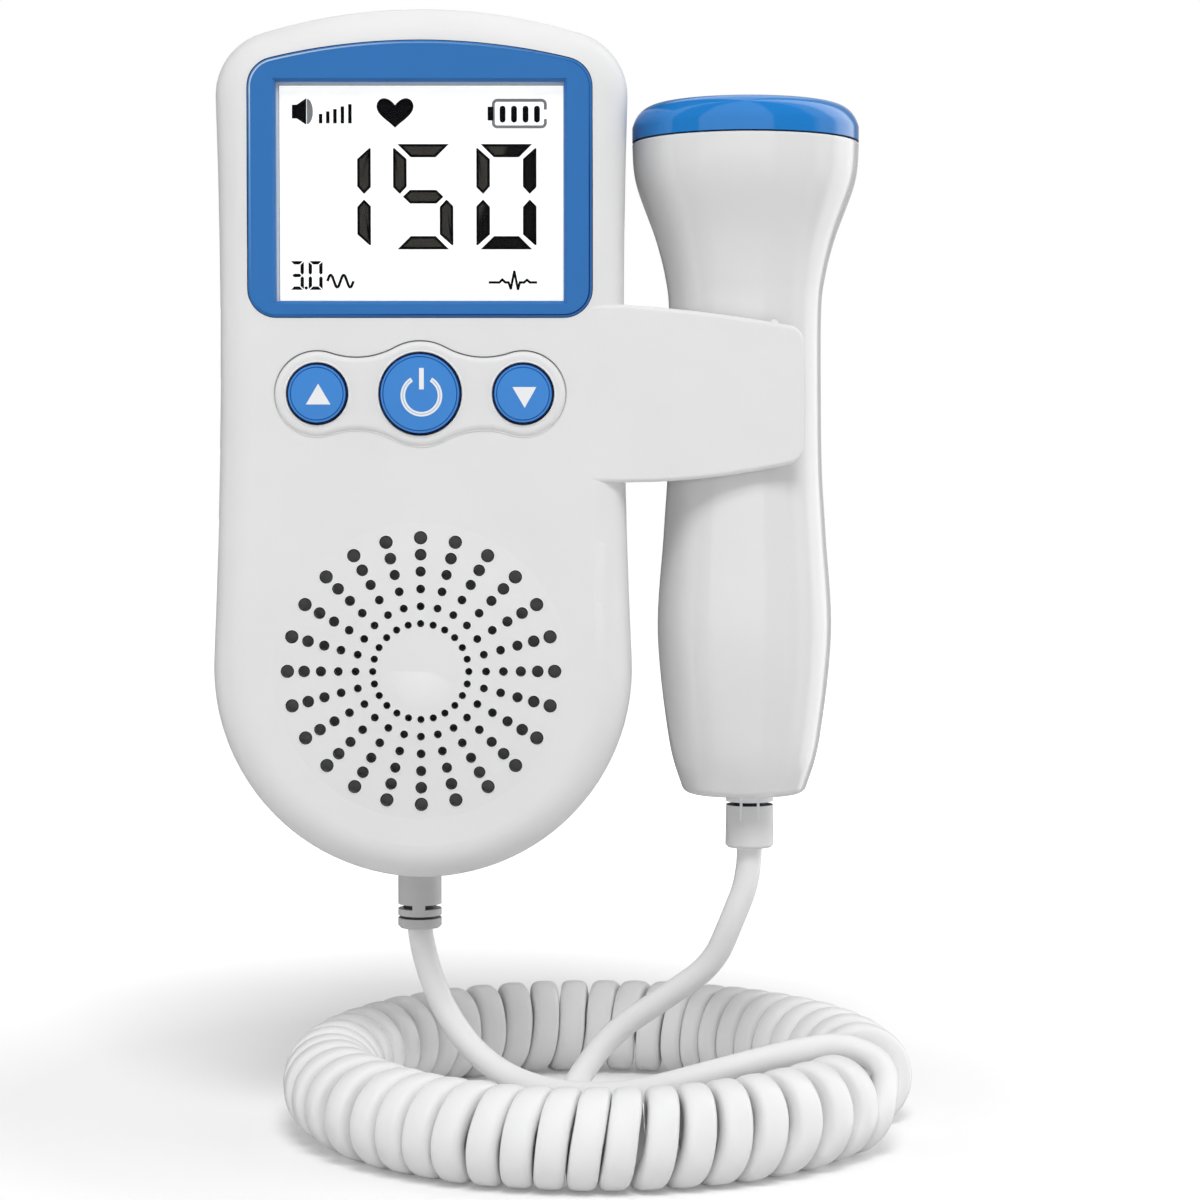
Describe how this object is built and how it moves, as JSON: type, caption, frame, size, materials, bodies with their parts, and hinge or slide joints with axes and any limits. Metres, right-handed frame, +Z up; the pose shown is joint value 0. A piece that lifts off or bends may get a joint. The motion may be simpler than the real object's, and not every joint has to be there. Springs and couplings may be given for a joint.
{
  "type": "fetal doppler monitor",
  "caption": "Hand-held fetal heart-rate monitor: a screen unit with buttons and a loudspeaker, a probe in its side clip and a curly cord between them.",
  "frame": {"origin": "on the flat back of the screen unit, on the loudspeaker's axis, which is also the centre of the unit's round lower end", "axes": "+Z up along the unit towards its screen, +Y out of the flat back (the screen faces -Y), +X to the right as the user sees the screen, towards the probe"},
  "size_m": [0.1104, 0.1008, 0.1761],
  "materials": {
    "case_white": "satin",
    "probe_white": "gloss",
    "bezel_blue": "satin",
    "button_blue": "satin",
    "cap_blue": "gloss",
    "window_clear": "clear",
    "lcd_white": "matte",
    "light_guide": "satin",
    "board_green": "satin",
    "chip_black": "matte",
    "switch_black": "matte",
    "can_aluminium": "satin",
    "screw_steel": "zinc plated",
    "contact_nickel": "satin",
    "basket_steel": "satin",
    "magnet_dark": "matte",
    "cone_paper": "matte",
    "cloth_grey": "woven",
    "gasket_foam": "matte",
    "plug_white": "matte",
    "cell_wrap": "gloss",
    "cord_white": "satin",
    "gland_white": "satin",
    "piezo_ceramic": "matte",
    "foam_grey": "matte"
  },
  "bodies": {
    "unit": {"front_cover": "case_white", "rear_cover": "case_white", "screen_bezel": "bezel_blue", "display_window": "window_clear", "lcd_panel": "lcd_white", "lcd_backlight": "light_guide", "tact_switches": "contact_nickel", "main_board": "board_green", "board_screws": "screw_steel", "board_chips": "chip_black", "board_capacitors": "can_aluminium", "crystal_can": "can_aluminium", "cord_plug": "plug_white", "case_screws": "screw_steel", "speaker_cloth": "cloth_grey", "speaker_gasket": "gasket_foam", "speaker_basket": "basket_steel", "speaker_cone": "cone_paper", "speaker_magnet": "magnet_dark", "cell_left": "cell_wrap", "cell_right": "cell_wrap", "battery_springs": "contact_nickel", "battery_contacts": "contact_nickel", "unit_strain_relief": "gland_white", "cord_tail_unit": "cord_white", "cord_tail_probe": "cord_white", "curly_cord": "cord_white"},
    "volume_up": {"volume_up_button": "button_blue", "volume_up_plunger": "switch_black"},
    "power": {"power_button": "button_blue", "power_plunger": "switch_black"},
    "volume_down": {"volume_down_button": "button_blue", "volume_down_plunger": "switch_black"},
    "battery_door": {"battery_cover": "case_white"},
    "probe": {"probe_front_shell": "probe_white", "probe_rear_shell": "probe_white", "probe_cap": "cap_blue", "piezo_elements": "piezo_ceramic", "probe_foam": "foam_grey", "probe_board": "board_green", "probe_strain_relief": "gland_white"}
  },
  "joints": [
    {"name": "volume_up_press", "type": "slide", "parent": "unit", "child": "volume_up", "axis": [0, 1, 0], "range_m": [0, 0.0006], "stiffness_N_per_m": 1500},
    {"name": "power_press", "type": "slide", "parent": "unit", "child": "power", "axis": [0, 1, 0], "range_m": [0, 0.0006], "stiffness_N_per_m": 1500},
    {"name": "volume_down_press", "type": "slide", "parent": "unit", "child": "volume_down", "axis": [0, 1, 0], "range_m": [0, 0.0006], "stiffness_N_per_m": 1500},
    {"name": "probe_release", "type": "slide", "parent": "unit", "child": "probe", "axis": [1, 0, 0], "range_m": [0, 0.03]},
    {"name": "battery_door_swing", "type": "hinge", "parent": "unit", "child": "battery_door", "pos_m": [0, 0, 0.0134], "axis": [-1, 0, 0], "range_deg": [0, 80]}
  ]
}
